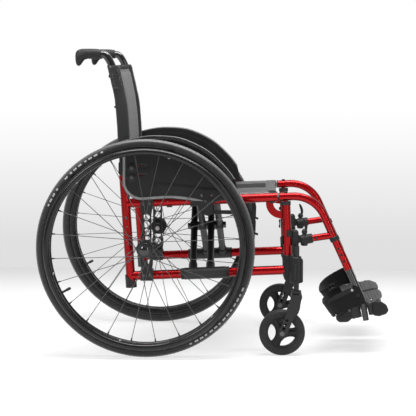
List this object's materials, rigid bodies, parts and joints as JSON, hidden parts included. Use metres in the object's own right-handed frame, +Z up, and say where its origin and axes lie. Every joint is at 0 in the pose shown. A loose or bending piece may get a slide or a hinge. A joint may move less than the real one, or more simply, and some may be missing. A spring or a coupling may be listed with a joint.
{
  "type": "manual wheelchair",
  "caption": "Folding manual wheelchair: tube side frames on a scissor cross brace, large push wheels, swivel casters, swing-away leg supports, sling seat and back.",
  "frame": {"origin": "on the floor, at the centre of the chair's footprint, midway between the wheels", "axes": "+X forward, the way the rider faces; +Y to the rider's left; +Z up"},
  "size_m": [0.9556, 0.642, 0.8305],
  "materials": {
    "frame_paint": "metallic lacquer",
    "black_tube": "satin powder coat",
    "black_metal": "satin",
    "plastic": "fine moulded grain",
    "guard_plastic": "fine moulded grain",
    "grip_rubber": "matte",
    "tyre": "matte",
    "caster_rubber": "matte",
    "rim_metal": "black anodised",
    "spoke_steel": "stainless",
    "hub_metal": "black anodised",
    "steel": "zinc plated",
    "button_gloss": "polished",
    "seat_fabric": "woven nylon",
    "back_fabric": "woven nylon",
    "webbing": "woven webbing"
  },
  "bodies": {
    "frame_right": {"side_frame_right": "frame_paint", "plastic_fittings_right": "plastic", "frame_screws_right": "steel", "back_cane_right": "black_tube", "push_grip_right": "grip_rubber", "side_guard_right": "guard_plastic", "axle_plate_right": "black_metal", "axle_pin_right": "steel", "brake_base_right": "black_metal", "caster_housing_right": "plastic", "back_upholstery": "back_fabric"},
    "frame_left": {"side_frame_left": "frame_paint", "plastic_fittings_left": "plastic", "frame_screws_left": "steel", "back_cane_left": "black_tube", "push_grip_left": "grip_rubber", "side_guard_left": "guard_plastic", "axle_plate_left": "black_metal", "axle_pin_left": "steel", "brake_base_left": "black_metal", "caster_housing_left": "plastic"},
    "cross_a": {"cross_brace_a": "black_tube", "pivot_bolt": "steel", "seat_sling": "seat_fabric"},
    "cross_b": {"cross_brace_b": "black_tube"},
    "wheel_right": {"wheel_tyre_right": "tyre", "wheel_rim_right": "rim_metal", "wheel_spokes_right": "spoke_steel", "wheel_hub_right": "hub_metal", "handrim_right": "rim_metal"},
    "release_right": {"release_button_right": "button_gloss"},
    "caster_swivel_right": {"caster_fork_right": "black_metal", "caster_bolt_right": "steel"},
    "caster_wheel_right": {"caster_tyre_right": "caster_rubber", "caster_hub_right": "plastic"},
    "leg_support_right": {"hanger_right": "frame_paint", "hanger_latch_right": "plastic"},
    "latch_right": {"latch_lever_right": "plastic"},
    "extension_right": {"footrest_tube_right": "black_tube", "heel_loop_right": "webbing"},
    "footrest_right": {"footplate_right": "plastic"},
    "brake_right": {"brake_lever_right": "black_metal"},
    "wheel_left": {"wheel_tyre_left": "tyre", "wheel_rim_left": "rim_metal", "wheel_spokes_left": "spoke_steel", "wheel_hub_left": "hub_metal", "handrim_left": "rim_metal"},
    "release_left": {"release_button_left": "button_gloss"},
    "caster_swivel_left": {"caster_fork_left": "black_metal", "caster_bolt_left": "steel"},
    "caster_wheel_left": {"caster_tyre_left": "caster_rubber", "caster_hub_left": "plastic"},
    "leg_support_left": {"hanger_left": "frame_paint", "hanger_latch_left": "plastic"},
    "latch_left": {"latch_lever_left": "plastic"},
    "extension_left": {"footrest_tube_left": "black_tube", "heel_loop_left": "webbing"},
    "footrest_left": {"footplate_left": "plastic"},
    "brake_left": {"brake_lever_left": "black_metal"}
  },
  "joints": [
    {"name": "fold", "type": "hinge", "parent": "frame_right", "child": "cross_a", "pos_m": [-0.02431, -0.21, 0.22042], "axis": [0.999, 0, 0.0436], "range_deg": [0, 43], "deforming": ["seat_sling", "back_upholstery", "heel_loop_right", "heel_loop_left"]},
    {"name": "cross_pivot", "type": "hinge", "parent": "cross_a", "child": "cross_b", "pos_m": [-0.02901, 0, 0.32789], "axis": [0.999, 0, 0.0436], "range_deg": [-86, 0]},
    {"name": "left_frame_pivot", "type": "hinge", "parent": "cross_b", "child": "frame_left", "pos_m": [-0.02431, 0.21, 0.22042], "axis": [0.999, 0, 0.0436], "range_deg": [0, 43]},
    {"name": "wheel_spin_right", "type": "hinge", "parent": "frame_right", "child": "wheel_right", "pos_m": [-0.18285, -0.28, 0.295], "axis": [0, 1, 0], "continuous": true},
    {"name": "release_press_right", "type": "slide", "parent": "frame_right", "child": "release_right", "axis": [0, 1, 0], "range_m": [0, 0.003], "stiffness_N_per_m": 400},
    {"name": "caster_turn_right", "type": "hinge", "parent": "frame_right", "child": "caster_swivel_right", "pos_m": [0.22415, -0.238, 0.2], "axis": [0, 0, 1], "continuous": true},
    {"name": "caster_roll_right", "type": "hinge", "parent": "caster_swivel_right", "child": "caster_wheel_right", "pos_m": [0.18615, -0.238, 0.0625], "axis": [0, 1, 0], "continuous": true},
    {"name": "leg_swing_right", "type": "hinge", "parent": "frame_right", "child": "leg_support_right", "pos_m": [0.19567, -0.21, 0.4], "axis": [0.0433, 0, -0.9991], "range_deg": [0, 90]},
    {"name": "latch_press_right", "type": "hinge", "parent": "leg_support_right", "child": "latch_right", "pos_m": [0.24615, -0.21, 0.3295], "axis": [0, 1, 0], "range_deg": [0, 12], "stiffness_Nm_per_rad": 0.05},
    {"name": "leg_length_right", "type": "slide", "parent": "leg_support_right", "child": "extension_right", "axis": [0.4163, 0, -0.9092], "range_m": [0, 0.05]},
    {"name": "footplate_flip_right", "type": "hinge", "parent": "extension_right", "child": "footrest_right", "pos_m": [0.40915, -0.186, 0.1289], "axis": [0.9744, 0, 0.225], "range_deg": [0, 90]},
    {"name": "brake_swing_right", "type": "hinge", "parent": "frame_right", "child": "brake_right", "pos_m": [-0.01485, -0.203, 0.388], "axis": [0, 0, -1], "range_deg": [0, 14]},
    {"name": "wheel_spin_left", "type": "hinge", "parent": "frame_left", "child": "wheel_left", "pos_m": [-0.18285, 0.28, 0.295], "axis": [0, 1, 0], "continuous": true},
    {"name": "release_press_left", "type": "slide", "parent": "frame_left", "child": "release_left", "axis": [0, -1, 0], "range_m": [0, 0.003], "stiffness_N_per_m": 400},
    {"name": "caster_turn_left", "type": "hinge", "parent": "frame_left", "child": "caster_swivel_left", "pos_m": [0.22415, 0.238, 0.2], "axis": [0, 0, 1], "continuous": true},
    {"name": "caster_roll_left", "type": "hinge", "parent": "caster_swivel_left", "child": "caster_wheel_left", "pos_m": [0.18615, 0.238, 0.0625], "axis": [0, 1, 0], "continuous": true},
    {"name": "leg_swing_left", "type": "hinge", "parent": "frame_left", "child": "leg_support_left", "pos_m": [0.19567, 0.21, 0.4], "axis": [-0.0433, 0, 0.9991], "range_deg": [0, 90]},
    {"name": "latch_press_left", "type": "hinge", "parent": "leg_support_left", "child": "latch_left", "pos_m": [0.24615, 0.21, 0.3295], "axis": [0, 1, 0], "range_deg": [0, 12], "stiffness_Nm_per_rad": 0.05},
    {"name": "leg_length_left", "type": "slide", "parent": "leg_support_left", "child": "extension_left", "axis": [0.4163, 0, -0.9092], "range_m": [0, 0.05]},
    {"name": "footplate_flip_left", "type": "hinge", "parent": "extension_left", "child": "footrest_left", "pos_m": [0.40915, 0.186, 0.1289], "axis": [-0.9744, 0, -0.225], "range_deg": [0, 90]},
    {"name": "brake_swing_left", "type": "hinge", "parent": "frame_left", "child": "brake_left", "pos_m": [-0.01485, 0.203, 0.388], "axis": [0, 0, 1], "range_deg": [0, 14]}
  ],
  "couplings": [
    {"joint": "cross_pivot", "follows": "fold", "ratio": -2},
    {"joint": "left_frame_pivot", "follows": "fold", "ratio": 1},
    {"joint": "footplate_flip_right", "follows": "fold", "ratio": 2.09},
    {"joint": "footplate_flip_left", "follows": "fold", "ratio": 2.09}
  ]
}
